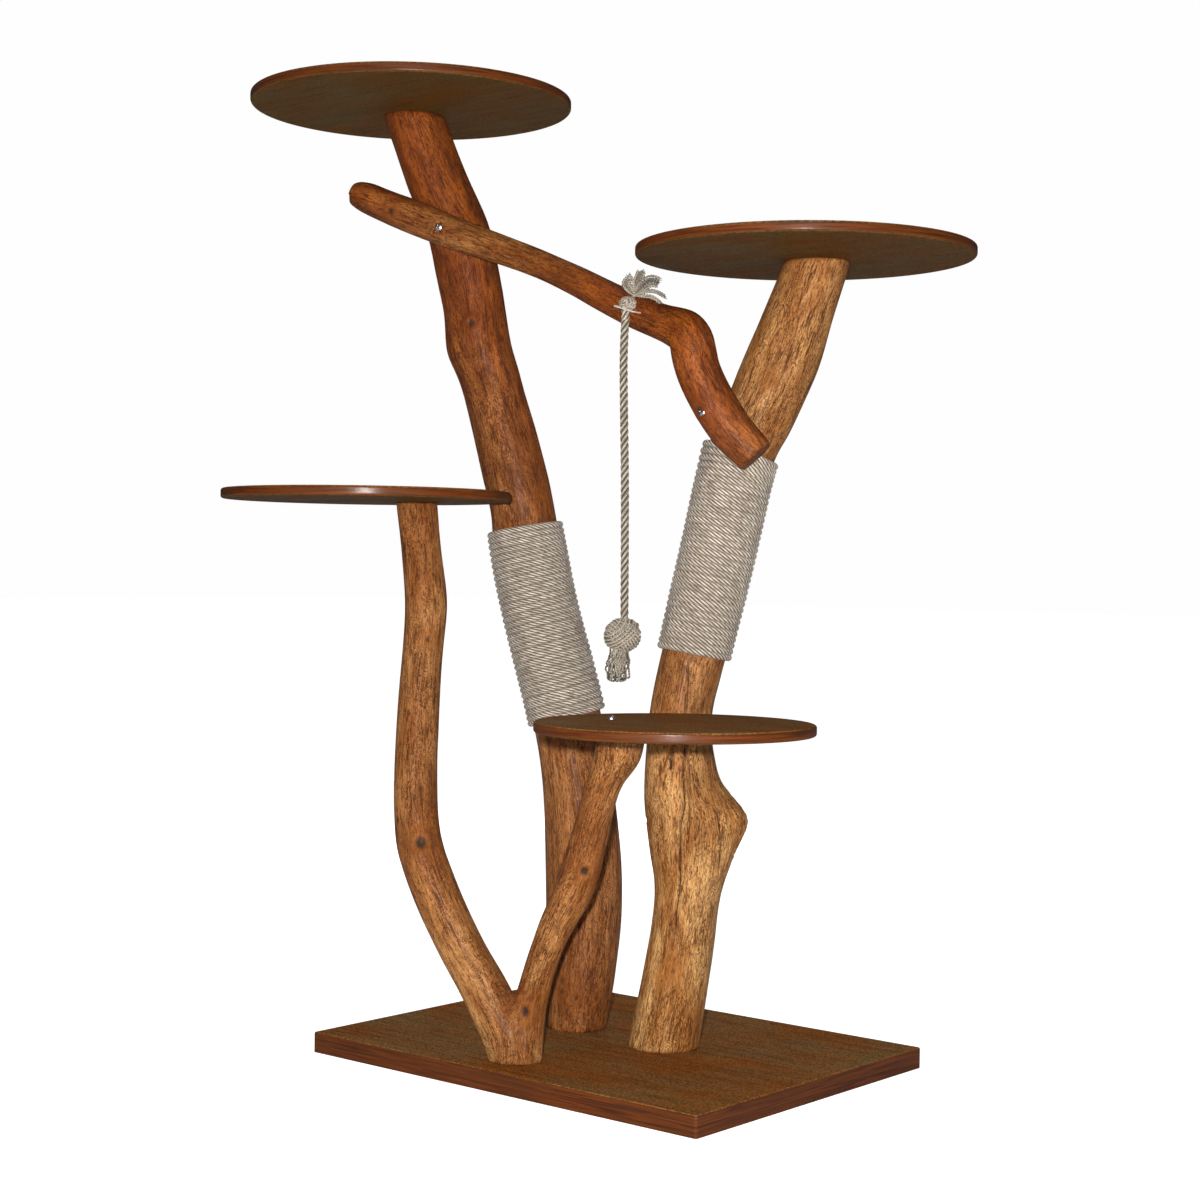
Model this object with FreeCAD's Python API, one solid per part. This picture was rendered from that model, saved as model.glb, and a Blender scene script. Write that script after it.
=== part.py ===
import FreeCAD, Part
import math
import os

# Cat tree: three natural branches stand on a board and carry four round platforms. A cross branch joins the
# two thick ones and a rope toy hangs from it. Millimetres, +Z up. The origin is the centre of the board's
# underside, +X runs along the board's long side and +Y along its short side.

os.makedirs("parts", exist_ok=True)

Vector = FreeCAD.Vector
UP = Vector(0, 0, 1)

# ---- driving dimensions ----------------------------------------------------------------
BASE_LENGTH = 600.0
BASE_WIDTH = 450.0
BASE_THICKNESS = 25.0
BASE_CORNER = 4.0
BASE_EDGE = 2.0

PLATE_THICKNESS = 12.0
PLATE_EDGE = 3.0
# platform: centre x, centre y, height of its top face, diameter
TOP_PLATE = (-247.0, -125.0, 1191.0, 400.0)
RIGHT_PLATE = (230.0, 54.0, 985.0, 400.0)
LEFT_PLATE = (-217.0, -223.0, 695.5, 350.0)
LOW_PLATE = (230.0, -182.0, 437.0, 310.0)

# branch stations: x, y, z of the centre and the radius there
TALL_POST = [
    (-81, 22, BASE_THICKNESS, 37),
    (-80, 27, 90, 43),
    (-79, 32, 180, 47),
    (-84, 32, 270, 46),
    (-93, 28, 350, 43),
    (-107, 20, 430, 43.6),
    (-137, 2, 560, 43.2),
    (-151.5, -6, 640, 43),
    (-155, -8, 672, 41),
    (-167, -15, 730, 41),
    (-188, -28, 820, 38.3),
    (-195.5, -33.5, 850, 38),
    (-205, -40, 880, 40.8),
    (-211.5, -43, 930, 38.8),
    (-220, -48, 980, 39.5),
    (-230, -54, 1030, 39),
    (-255, -71, 1100, 38),
    (-280, -88, TOP_PLATE[2] - PLATE_THICKNESS, 36),
]
# the last number is how far the sawn-off side branch stands out there
RIGHT_POST = [
    (67, 12, BASE_THICKNESS, 42, 0),
    (80, 12, 85, 40, 0),
    (92, 11, 145, 38.5, 0),
    (103, 9, 205, 38, 0),
    (105, 7, 235, 39, 7),
    (105, 0, 264, 40, 23),
    (105, -4, 285, 41, 37),
    (105, -8, 307, 41.5, 46),
    (105, -11, 323, 42, 41),
    (106, -14, 343, 42, 14),
    (109, -17, 366, 42, 2),
    (114, -24, 430, 36.5, 0),
    (124, -14, 500, 38.2, 0),
    (142.5, 5.5, 620, 39.6, 0),
    (159, 26, 738, 39.6, 0),
    (169, 35, 768, 41, 0),
    (179, 45, 800, 42, 0),
    (193, 59, 850, 43, 0),
    (208, 74, 910, 39.5, 0),
    (224, 90, RIGHT_PLATE[2] - PLATE_THICKNESS, 36.5, 0),
]
SIDE_BRANCH_DIRECTION = 40.0
FORK_LEFT_LIMB = [
    (-13, -167, BASE_THICKNESS, 30),
    (-23, -173, 55, 29),
    (-49, -182, 105, 27.5),
    (-79, -190, 150, 26.5),
    (-110, -198, 205, 27),
    (-136, -202, 260, 27),
    (-146, -201, 290, 26.5),
    (-158, -193, 344, 26),
    (-171, -177, 430, 25.5),
    (-180, -162, 502, 25.5),
    (-187, -150, 560, 27),
    (-201, -144, 620, 25),
    (-217, -138, LEFT_PLATE[2] - PLATE_THICKNESS, 25.5),
]
FORK_RIGHT_LIMB = [
    (-9, -164, BASE_THICKNESS, 27),
    (-6, -161, 55, 24),
    (-1, -159, 84, 20.5),
    (21, -162, 141, 18.5),
    (44, -164, 186, 19),
    (66, -163, 223, 21.5),
    (79, -165, 249, 22),
    (101, -171, 301, 21),
    (117, -177, 338, 19),
    (132, -180, 369, 20),
    (146, -179, 390, 26),
    (154, -180, LOW_PLATE[2] - PLATE_THICKNESS, 27),
]
CROSS_BRANCH = [
    (-338, -136, 1081, 15),
    (-334, -135, 1080, 18.5),
    (-325, -132, 1076, 19.5),
    (-287, -122, 1059, 20),
    (-245, -110, 1042, 21),
    (-195, -97, 1021, 20),
    (-129, -86, 997, 18),
    (-70, -78, 975, 17.5),
    (-18, -71, 952, 18.5),
    (34, -65, 926, 19.5),
    (74, -60, 907, 20),
    (113, -56, 892, 21.5),
    (143, -54, 879, 27),
    (152, -52, 842, 26),
    (168, -44, 804, 25.5),
    (190, -32, 766, 25),
    (216, -19, 736, 22),
]

# rope wrapped round the thick branches: lowest and highest point of its axis
ROPE_DIAMETER = 7.5
TALL_WRAP = (412.0, 660.0)
RIGHT_WRAP = (501.0, 741.0)
WRAP_STATIONS = 8

# the hanging toy, all on one plumb line
TOY_X = 75.0
TOY_Y = -86.0
SWING_Z = 901.0
TOY_ROPE_RADIUS = 5.0
SWING_GAP = 0.3
NECK_CUT = 3.0
TOP_KNOT_Z = 917.0
TOP_KNOT_RADIUS = 10.5
TOP_TASSEL_TIP = (91.0, -74.0, 950.0)
TOP_TASSEL_RADIUS = 17.0
BOTTOM_KNOT_Z = 526.0
BOTTOM_KNOT_RADIUS = 23.0
TOY_BOTTOM_Z = 471.0
TASSEL_NECK_RADIUS = 11.0
TASSEL_RADIUS = 16.0
TASSEL_SHIFT = (-2.0, -2.0)

# steel
STAPLE_WIRE = 1.8
STAPLE_WIDTH = 29.0
STAPLE_LEG = 20.0
STAPLE_DROP = 9.0
STAPLE_Z = 909.0
# height of a domed head, as a part of its diameter
DOME_HEIGHT = 0.28
DOME_STEPS = 6
# the cross-shaped drive, as parts of the head's diameter and of its height
RECESS_WIDTH = 0.5
RECESS_SLOT = 0.12
RECESS_DEPTH = 0.6
BRANCH_SCREW_HEAD = 11.0
BRANCH_SCREW_SHANK = 5.0
PLATE_SCREW_HEAD = 9.0
PLATE_SCREW_LENGTH = 55.0
WASHER_DIAMETER = 14.0
WASHER_THICKNESS = 1.2
BASE_SCREW_HEAD = 11.5
BASE_SCREW_LENGTH = 80.0
BASE_SCREW_SINK = 0.5
WRAP_STAPLE_WIRE = 1.4
WRAP_STAPLE_WIDTH = 12.0
WRAP_STAPLE_LEG = 13.0
WRAP_STAPLE_SIDE = 130.0
WRAP_STAPLE_SINK = 0.5

# how far a stem is from round, and the length over which its section turns by one radian
STEM_OVAL = 0.025
STEM_LOBES = 0.012
STEM_TWIST = 260.0
LYING_ROUGHNESS = 0.5

RING_POINTS = 16
RING_SPACING = 16.0
# a ring's curve runs a little inside its guiding points
RING_GROWTH = 6.0 / (4.0 + 2.0 * math.cos(2 * math.pi / RING_POINTS))


# ---- shapes ----------------------------------------------------------------------------
def centre(station):
    return Vector(station[0], station[1], station[2])


def tangent(stations, i):
    before = centre(stations[max(i - 1, 0)])
    after = centre(stations[min(i + 1, len(stations) - 1)])
    return (after - before).normalize()


def natural(angle, along):
    """A debarked stem is never quite round: an oval and a three-lobed wave that turn slowly along it."""
    turn = along / STEM_TWIST
    return 1.0 + STEM_OVAL * math.cos(2 * (angle - turn)) + STEM_LOBES * math.cos(3 * angle + 2 * turn)


def evened(stations):
    """More stations, evenly spaced along the stem, on a smooth curve through the given ones."""
    stations = [station + (0,) * (5 - len(station)) for station in stations]
    reach = [0.0]
    for before, after in zip(stations, stations[1:]):
        reach.append(reach[-1] + (centre(after) - centre(before)).Length)
    slopes = []
    for i in range(len(stations)):
        low = max(i - 1, 0)
        high = min(i + 1, len(stations) - 1)
        slopes.append([(b - a) / (reach[high] - reach[low]) for a, b in zip(stations[low], stations[high])])
    count = round(reach[-1] / RING_SPACING)
    result = []
    for n in range(count + 1):
        s = reach[-1] * n / count
        i = max(k for k in range(len(stations) - 1) if reach[k] <= s + 0.001)
        span = reach[i + 1] - reach[i]
        t = (s - reach[i]) / span
        rise = t * t * (3 - 2 * t)
        leave = t * (1 - t) ** 2 * span
        arrive = t * t * (t - 1) * span
        between = [
            a + (b - a) * rise + leave * slope_a + arrive * slope_b
            for a, b, slope_a, slope_b in zip(stations[i], stations[i + 1], slopes[i], slopes[i + 1])
        ]
        result.append(tuple(between))
    return result


def skinned(rings):
    """A closed solid: a smooth side guided by rings of points, and a flat end at each end ring."""
    poles = [[ring[k] for ring in rings] for k in range(RING_POINTS)]
    knots_round = list(range(RING_POINTS + 1))
    knots_along = list(range(len(rings) - 2))
    repeats_along = [4] + [1] * (len(rings) - 4) + [4]
    side = Part.BSplineSurface()
    side.buildFromPolesMultsKnots(
        poles, [1] * (RING_POINTS + 1), repeats_along, knots_round, knots_along, True, False, 3, 3
    )
    halves = []
    for first in (0, RING_POINTS // 2):
        half = side.copy()
        half.segment(first, first + RING_POINTS // 2, knots_along[0], knots_along[-1])
        halves.append(half)
    ends = []
    for v in (knots_along[0], knots_along[-1]):
        rim = Part.Wire([half.vIso(v).toShape() for half in halves])
        ends.append(Part.Face(rim))
    shell = Part.Shell([half.toShape() for half in halves] + ends)
    shell.sewShape()
    solid = Part.Solid(shell)
    if solid.Volume < 0:
        solid.reverse()
    return solid


def level_ring(stations, i):
    """Horizontal section of a leaning stem: round across its own axis, so stretched along the lean."""
    station = stations[i]
    along = tangent(stations, i)
    lean = Vector(along.x, along.y, 0)
    stretch = 1.0 / along.z - 1.0
    if lean.Length > 0.001:
        lean.normalize()
    points = []
    for k in range(RING_POINTS):
        angle = 2 * math.pi * k / RING_POINTS
        radius = station[3] * natural(angle, station[2])
        facing = math.cos(angle - math.radians(SIDE_BRANCH_DIRECTION))
        radius += station[4] * max(facing, 0.0) ** 6
        radius *= RING_GROWTH
        spoke = Vector(math.cos(angle), math.sin(angle), 0) * radius
        points.append(centre(station) + spoke + lean * (spoke.dot(lean) * stretch))
    return points


def standing_branch(stations):
    """A stem sawn level at both ends."""
    stations = evened(stations)
    rings = [level_ring(stations, i) for i in range(len(stations))]
    return skinned(rings)


def square_ring(stations, i, roughness):
    """Section square to the stem's own axis."""
    station = stations[i]
    along = tangent(stations, i)
    side = along.cross(UP).normalize()
    rise = side.cross(along)
    points = []
    for k in range(RING_POINTS):
        angle = 2 * math.pi * k / RING_POINTS
        radius = station[3] * (1.0 + roughness * (natural(angle, station[0]) - 1.0)) * RING_GROWTH
        points.append(centre(station) + (side * math.cos(angle) + rise * math.sin(angle)) * radius)
    return points


def lying_branch(stations):
    """A stem sawn square at both ends."""
    stations = evened(stations)
    rings = [square_ring(stations, i, LYING_ROUGHNESS) for i in range(len(stations))]
    return skinned(rings)


def station_at(stations, z):
    """The stem's centre and radius at one height."""
    for low, high in zip(stations, stations[1:]):
        if low[2] <= z <= high[2]:
            part = (z - low[2]) / (high[2] - low[2])
            return tuple(low[k] + (high[k] - low[k]) * part for k in range(4))
    raise ValueError("no station at that height")


def rope_wrap(stations, span, post):
    """Outer shape of the close turns of rope on a post."""
    low, high = span
    outline = []
    for k in range(WRAP_STATIONS + 1):
        x, y, z, radius = station_at(stations, low + (high - low) * k / WRAP_STATIONS)
        outline.append((x, y, z, radius + ROPE_DIAMETER))
    rings = [square_ring(outline, i, 0.0) for i in range(len(outline))]
    return skinned(rings).cut(post)


def platform(plate):
    x, y, top, diameter = plate
    disc = Part.makeCylinder(diameter / 2, PLATE_THICKNESS, Vector(x, y, top - PLATE_THICKNESS))
    rims = [edge for edge in disc.Edges if edge.Closed and len(edge.Vertexes) == 1]
    return disc.makeFillet(PLATE_EDGE, rims)


def base_board():
    corner = Vector(-BASE_LENGTH / 2, -BASE_WIDTH / 2, 0)
    board = Part.makeBox(BASE_LENGTH, BASE_WIDTH, BASE_THICKNESS, corner)
    uprights = [edge for edge in board.Edges if abs(edge.tangentAt(edge.FirstParameter).z) > 0.9]
    board = board.makeFillet(BASE_CORNER, uprights)
    top = [edge for edge in board.Edges if edge.BoundBox.ZMin > BASE_THICKNESS - 0.1]
    return board.makeFillet(BASE_EDGE, top)


def bar(start, direction, length, diameter):
    return Part.makeCylinder(diameter / 2, length, start, direction)


def turned(outline, seat, direction):
    """A solid turned about the line through seat along direction, from points (radius, distance along)."""
    points = [Vector(radius, 0, along) for radius, along in outline]
    wire = Part.makePolygon(points + [points[0]])
    solid = Part.Face(wire).revolve(Vector(0, 0, 0), UP, 360)
    solid.Placement = FreeCAD.Placement(seat, FreeCAD.Rotation(UP, direction))
    return solid


def cross_recess(seat, direction, head, depth):
    """The two crossing slots of a screw's drive."""
    slots = []
    wide = head * RECESS_WIDTH
    narrow = head * RECESS_SLOT
    for length, width in ((wide, narrow), (narrow, wide)):
        slots.append(Part.makeBox(length, width, depth, Vector(-length / 2, -width / 2, 0)))
    recess = slots[0].fuse(slots[1])
    recess.Placement = FreeCAD.Placement(seat, FreeCAD.Rotation(UP, direction))
    return recess


def round_head_screw(seat, direction, length, head, shank):
    """A screw whose domed head sits at seat and whose shank runs along direction."""
    dome = head * DOME_HEIGHT
    outline = [(0, -dome)]
    for k in range(1, DOME_STEPS):
        angle = math.pi / 2 * k / DOME_STEPS
        outline.append((head / 2 * math.sin(angle), -dome * math.cos(angle)))
    outline += [(head / 2, 0), (shank / 2, 0), (shank / 2, length - shank), (0, length)]
    top = seat - direction * dome
    return turned(outline, seat, direction).cut(cross_recess(top, direction, head, dome * RECESS_DEPTH))


def countersink(seat, direction, length, head, shank):
    """The space that a countersunk screw with its flat head at seat fills."""
    cone = (head - shank) / 2
    outline = [(0, 0), (head / 2, 0), (shank / 2, cone), (shank / 2, length - shank), (0, length)]
    return turned(outline, seat, direction)


def flat_head_screw(seat, direction, length, head, shank):
    """A countersunk screw with its flat head at seat."""
    body = countersink(seat, direction, length, head, shank)
    return body.cut(cross_recess(seat, direction, head, (head - shank) * RECESS_DEPTH / 2))


def washer(seat, direction, hole):
    """A flat washer under a screw head, its underside at seat."""
    disc = Part.makeCylinder(WASHER_DIAMETER / 2, WASHER_THICKNESS, seat, direction * -1)
    return disc.cut(bar(seat - direction * WASHER_THICKNESS, direction, WASHER_THICKNESS, hole))


def u_staple(middle, across, inward, width, leg, wire):
    """A wire staple: a straight crown along across, and two legs that go inward."""
    left = middle - across * (width / 2)
    right = middle + across * (width / 2)
    crown = bar(left, across, width, wire)
    legs = [bar(end, inward, leg, wire) for end in (left, right)]
    elbows = [Part.makeSphere(wire / 2, end) for end in (left, right)]
    return crown.multiFuse(legs + elbows)


def around(middle, radius, count, first_degrees):
    """Points on a level circle."""
    places = []
    for k in range(count):
        angle = math.radians(first_degrees) + 2 * math.pi * k / count
        places.append(middle + Vector(radius * math.cos(angle), radius * math.sin(angle), 0))
    return places


def level_direction(start, end):
    step = Vector(end.x - start.x, end.y - start.y, 0)
    return step.normalize()


def group(solids):
    return solids[0] if len(solids) == 1 else Part.makeCompound(solids)


# ---- wooden parts ----------------------------------------------------------------------
tall_post = standing_branch(TALL_POST)
right_post = standing_branch(RIGHT_POST)
fork_post = standing_branch(FORK_LEFT_LIMB).fuse(standing_branch(FORK_RIGHT_LIMB))
cross_branch = lying_branch(CROSS_BRANCH)
tall_post_rope_wrap = rope_wrap(TALL_POST, TALL_WRAP, tall_post)
right_post_rope_wrap = rope_wrap(RIGHT_POST, RIGHT_WRAP, right_post)
# the cross branch is saddled a few millimetres into what it is screwed to
cross_branch = cross_branch.cut(tall_post).cut(right_post).cut(right_post_rope_wrap)

# ---- screws through the platforms --------------------------------------------------------
# platform, branch under it, number of screws, radius of their circle, direction of the first
PLATE_FIXINGS = {
    "top_plate": (TOP_PLATE, TALL_POST[-1], 3, 13.0, 90.0),
    "right_plate": (RIGHT_PLATE, RIGHT_POST[-1], 3, 13.0, 30.0),
    "left_plate": (LEFT_PLATE, FORK_LEFT_LIMB[-1], 1, 0.0, 0.0),
    "low_plate": (LOW_PLATE, FORK_RIGHT_LIMB[-1], 1, 15.0, 255.0),
}
nodes = {}
post_of_plate = {"top_plate": "tall", "right_plate": "right", "left_plate": "fork", "low_plate": "fork"}
holes = {"tall": [], "right": [], "fork": [], "cross": []}
for name, (plate, branch_top, count, circle, first) in PLATE_FIXINGS.items():
    over_branch = Vector(branch_top[0], branch_top[1], plate[2])
    seats = around(over_branch, circle, count, first)
    heads = [seat + UP * WASHER_THICKNESS for seat in seats]
    size = (PLATE_SCREW_LENGTH, PLATE_SCREW_HEAD, BRANCH_SCREW_SHANK)
    screws = [round_head_screw(head, UP * -1, *size) for head in heads]
    shafts = [bar(head, UP * -1, PLATE_SCREW_LENGTH, BRANCH_SCREW_SHANK) for head in heads]
    nodes[name] = platform(plate).cut(group(shafts))
    nodes[name + "_screws"] = group(screws)
    nodes[name + "_washers"] = group([washer(seat, UP * -1, BRANCH_SCREW_SHANK) for seat in seats])
    holes[post_of_plate[name]] += shafts

# ---- screws up through the base board ----------------------------------------------------
BASE_FIXINGS = {
    "tall_post_base_screws": ("tall", TALL_POST[0], 3, 20.0, 0.0),
    "right_post_base_screws": ("right", RIGHT_POST[0], 3, 22.0, 60.0),
    "fork_post_base_screws": ("fork", FORK_LEFT_LIMB[0], 2, 13.0, 140.0),
}
board = base_board()
for name, (post, foot, count, circle, first) in BASE_FIXINGS.items():
    seats = around(Vector(foot[0], foot[1], BASE_SCREW_SINK), circle, count, first)
    size = (BASE_SCREW_LENGTH, BASE_SCREW_HEAD, BRANCH_SCREW_SHANK)
    screws = [flat_head_screw(seat, UP, *size) for seat in seats]
    sinks = [countersink(seat, UP, *size) for seat in seats]
    mouths = [bar(seat - UP * BASE_SCREW_SINK, UP, BASE_SCREW_SINK, BASE_SCREW_HEAD) for seat in seats]
    board = board.cut(group(sinks)).cut(group(mouths))
    nodes[name] = group(screws)
    holes[post] += [bar(seat, UP, BASE_SCREW_LENGTH, BRANCH_SCREW_SHANK) for seat in seats]
nodes["base_board"] = board

# ---- screws through the branches ---------------------------------------------------------
# where each head sits on the cross branch, and the point in the post that the screw aims at
LEFT_CROSS_SEAT = Vector(-203, -118.5, 1027)
LEFT_CROSS_AIM = Vector(-231, -53, 1030)
RIGHT_CROSS_SEAT = Vector(171, -63.5, 787)
RIGHT_CROSS_AIM = Vector(173, 37, 776)
CROSS_SCREW_LENGTH = 75.0
for name, seat, aim, post in (
    ("cross_branch_left_screw", LEFT_CROSS_SEAT, LEFT_CROSS_AIM, "tall"),
    ("cross_branch_right_screw", RIGHT_CROSS_SEAT, RIGHT_CROSS_AIM, "right"),
):
    way = (aim - seat).normalize()
    nodes[name] = round_head_screw(seat, way, CROSS_SCREW_LENGTH, BRANCH_SCREW_HEAD, BRANCH_SCREW_SHANK)
    pocket = bar(seat - way * BRANCH_SCREW_HEAD, way, BRANCH_SCREW_HEAD, BRANCH_SCREW_HEAD)
    shaft = bar(seat, way, CROSS_SCREW_LENGTH, BRANCH_SCREW_SHANK)
    holes["cross"] += [pocket, shaft]
    holes[post].append(shaft)

# long screws from behind a thick branch into the rim of the platform that leans on it
RIM_SCREW_BITE = 35.0
RIM_FIXINGS = {
    "left_plate": ("left_plate_rim_screw", LEFT_PLATE, TALL_POST, "tall"),
    "low_plate": ("low_plate_rim_screw", LOW_PLATE, RIGHT_POST, "right"),
}
for name, (screw, plate, stations, post) in RIM_FIXINGS.items():
    height = plate[2] - PLATE_THICKNESS / 2
    x, y, z, radius = station_at(stations, height)
    middle = Vector(x, y, height)
    way = level_direction(middle, Vector(plate[0], plate[1], height))
    seat = middle - way * radius
    length = radius * 2 + RIM_SCREW_BITE
    nodes[screw] = round_head_screw(seat, way, length, BRANCH_SCREW_HEAD, BRANCH_SCREW_SHANK)
    shaft = bar(seat, way, length, BRANCH_SCREW_SHANK)
    pocket = bar(seat - way * BRANCH_SCREW_HEAD, way, BRANCH_SCREW_HEAD, BRANCH_SCREW_HEAD)
    nodes[name] = nodes[name].cut(shaft)
    holes[post] += [shaft, pocket]

nodes["tall_post"] = tall_post.cut(group(holes["tall"]))
nodes["right_post"] = right_post.cut(group(holes["right"]))
nodes["fork_post"] = fork_post.cut(group(holes["fork"]))
nodes["cross_branch"] = cross_branch.cut(group(holes["cross"]))
nodes["tall_post_rope_wrap"] = tall_post_rope_wrap
nodes["right_post_rope_wrap"] = right_post_rope_wrap

# ---- hanging toy -------------------------------------------------------------------------
swing = Vector(TOY_X, TOY_Y, SWING_Z)
socket = Part.makeSphere(TOY_ROPE_RADIUS + SWING_GAP, swing)
top_knot_middle = Vector(TOY_X, TOY_Y, TOP_KNOT_Z)
top_knot = Part.makeSphere(TOP_KNOT_RADIUS, top_knot_middle)
root_stub = bar(swing + UP * NECK_CUT, UP, TOP_KNOT_Z - SWING_Z - NECK_CUT, 2 * TOY_ROPE_RADIUS)
nodes["toy_top_knot"] = top_knot.fuse(root_stub).cut(socket).cut(nodes["cross_branch"])
nodes["toy_rope_neck"] = Part.makeSphere(TOY_ROPE_RADIUS, swing)

bottom_knot_middle = Vector(TOY_X, TOY_Y, BOTTOM_KNOT_Z)
bottom_knot = Part.makeSphere(BOTTOM_KNOT_RADIUS, bottom_knot_middle)
rope_top = SWING_Z - NECK_CUT
rope = bar(Vector(TOY_X, TOY_Y, BOTTOM_KNOT_Z), UP, rope_top - BOTTOM_KNOT_Z, 2 * TOY_ROPE_RADIUS)
nodes["toy_rope"] = rope.cut(socket).cut(bottom_knot)
nodes["toy_bottom_knot"] = bottom_knot
tassel_top = BOTTOM_KNOT_Z - BOTTOM_KNOT_RADIUS / 2
tassel_foot = Vector(TOY_X + TASSEL_SHIFT[0], TOY_Y + TASSEL_SHIFT[1], TOY_BOTTOM_Z)
tassel = Part.makeCone(TASSEL_RADIUS, TASSEL_NECK_RADIUS, tassel_top - TOY_BOTTOM_Z, tassel_foot, UP)
nodes["toy_bottom_tassel"] = tassel.cut(bottom_knot)

fan = Vector(*TOP_TASSEL_TIP) - top_knot_middle
top_tassel = Part.makeCone(TOY_ROPE_RADIUS, TOP_TASSEL_RADIUS, fan.Length, top_knot_middle, fan)
nodes["toy_top_tassel"] = top_tassel.cut(top_knot).cut(nodes["cross_branch"])

staple_middle = Vector(TOY_X, TOY_Y - TOY_ROPE_RADIUS - STAPLE_WIRE / 2, STAPLE_Z)
staple_across = Vector(STAPLE_WIDTH, 0, -STAPLE_DROP).normalize()
nodes["toy_staple"] = u_staple(
    staple_middle, staple_across, Vector(0, 1, 0), STAPLE_WIDTH, STAPLE_LEG, STAPLE_WIRE
)

# ---- staples that hold the ends of the wrapped rope, at the back -------------------------
BACK = Vector(math.cos(math.radians(WRAP_STAPLE_SIDE)), math.sin(math.radians(WRAP_STAPLE_SIDE)), 0)
for name, stations, span in (
    ("tall_wrap_staples", TALL_POST, TALL_WRAP),
    ("right_wrap_staples", RIGHT_POST, RIGHT_WRAP),
):
    staples = []
    for z in (span[0] + 2 * ROPE_DIAMETER, span[1] - 2 * ROPE_DIAMETER):
        x, y, z, radius = station_at(stations, z)
        outside = Vector(x, y, z) + BACK * (radius + ROPE_DIAMETER + WRAP_STAPLE_WIRE / 2 - WRAP_STAPLE_SINK)
        staples.append(
            u_staple(outside, UP, BACK * -1, WRAP_STAPLE_WIDTH, WRAP_STAPLE_LEG, WRAP_STAPLE_WIRE)
        )
    nodes[name] = group(staples)

for name, shape in nodes.items():
    shape.exportStep("parts/" + name + ".step")
    print(name, len(shape.Solids), shape.isValid(), round(shape.Volume / 1000.0, 2), "cm3")
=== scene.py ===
import math

import bpy
import numpy as np
from mathutils import Matrix, Vector
from mathutils.bvhtree import BVHTree


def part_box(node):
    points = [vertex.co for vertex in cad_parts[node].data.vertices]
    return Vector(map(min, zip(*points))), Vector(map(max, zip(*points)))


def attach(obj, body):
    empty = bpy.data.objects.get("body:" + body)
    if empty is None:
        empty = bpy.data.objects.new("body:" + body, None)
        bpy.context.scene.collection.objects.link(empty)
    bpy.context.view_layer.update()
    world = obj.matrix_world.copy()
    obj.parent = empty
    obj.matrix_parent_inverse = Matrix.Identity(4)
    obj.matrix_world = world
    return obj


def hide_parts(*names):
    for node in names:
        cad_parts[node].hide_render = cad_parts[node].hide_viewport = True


# The looks of a cat tree: lacquered branches, stained boards, rope wraps and a hanging rope toy.
# Metres, +Z up.

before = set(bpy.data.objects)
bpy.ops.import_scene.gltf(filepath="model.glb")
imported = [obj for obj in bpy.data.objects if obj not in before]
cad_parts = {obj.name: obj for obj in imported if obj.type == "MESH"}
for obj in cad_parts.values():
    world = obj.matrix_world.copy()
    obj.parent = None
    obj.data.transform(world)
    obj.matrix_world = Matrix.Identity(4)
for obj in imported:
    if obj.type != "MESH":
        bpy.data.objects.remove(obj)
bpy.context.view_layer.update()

SEED = 7
TAU = 2 * math.pi

# ---- camera ----
EYE = Vector((1.6708, -2.0198, 0.6013))
LOOK_ACROSS = Vector((-0.6448, 0.7644, 0)).normalized()
LOOK_DOWN = 0.01343
ROLL = 0.01297
LENS = 64.01
SENSOR = 36.0

# ---- light ----
SCENE_MIDDLE = Vector((0, -0.1, 0.6))
# the key light is a small lamp just above the lens, as a camera's flash is
KEY_FROM_EYE = Vector((-0.04, -0.03, 0.08))
KEY_SIZE = 0.05
KEY_POWER = 83
# a broad, weak one stands behind
FILL_DISTANCE = 2.8
FILL_RISE = 0.4
FILL_SIZE = 1.5
FILL_POWER = 16
SKY_SPREAD = math.radians(70)
SKY_STRENGTH = 0.52
# how bright the surroundings are as light, and as the camera sees them
WORLD_LIGHT = 0.06
WORLD_SEEN = 0.99
FLOOR_HALF = 30.0
FLOOR_GLOW = 0.9

# ---- the toy's rope, as in the design ----
TOY_ROPE_DIAMETER = 0.01
TOY_STRANDS = 4
TOY_LAY = 0.034
ROPE_STEP = 0.0016
PIVOT = Vector((0.075, -0.086, 0.901))
# the toy's front faces the view, so its knots are laid out across, up and toward it
ACROSS = Vector((0.7644, 0.6448, 0))
TOWARD = Vector((0.6448, -0.7644, 0))
UP = Vector((0, 0, 1))
# each tuft of the upper end: its line from the knot (across, toward, up), its yarns, how far they fan out
TOP_TUFTS = [
    ([(-0.006, 0.002, 0.006), (-0.0105, 0.003, 0.013), (-0.007, 0.003, 0.019)], 4, 0.0034),
    ([(-0.002, 0.0, 0.009), (-0.0035, 0.0, 0.016), (-0.008, 0.001, 0.025)], 2, 0.0018),
    ([(0.002, 0.0, 0.01), (0.005, -0.001, 0.02), (0.009, -0.001, 0.031)], 4, 0.004),
    ([(0.009, 0.001, 0.01), (0.018, 0.001, 0.0165), (0.029, 0.001, 0.015)], 5, 0.0058),
    ([(0.011, 0.002, 0.004), (0.021, 0.003, 0.005), (0.04, 0.003, -0.0035)], 2, 0.001),
    ([(0.01, 0.001, -0.001), (0.02, 0.001, -0.002), (0.035, 0.001, -0.012)], 2, 0.001),
]
# the lower tassel: its loops, the part of a turn from one to the next, the radius of a yarn, and the length
# and size (x, y, z) of the waves in it
TASSEL_LOOPS = 19
TASSEL_TURN = 0.382
TASSEL_PLY = 0.00145
TASSEL_CRIMP = 0.0062
TASSEL_WAVE = np.array([0.0028, 0.0028, 0.0005])
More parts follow.
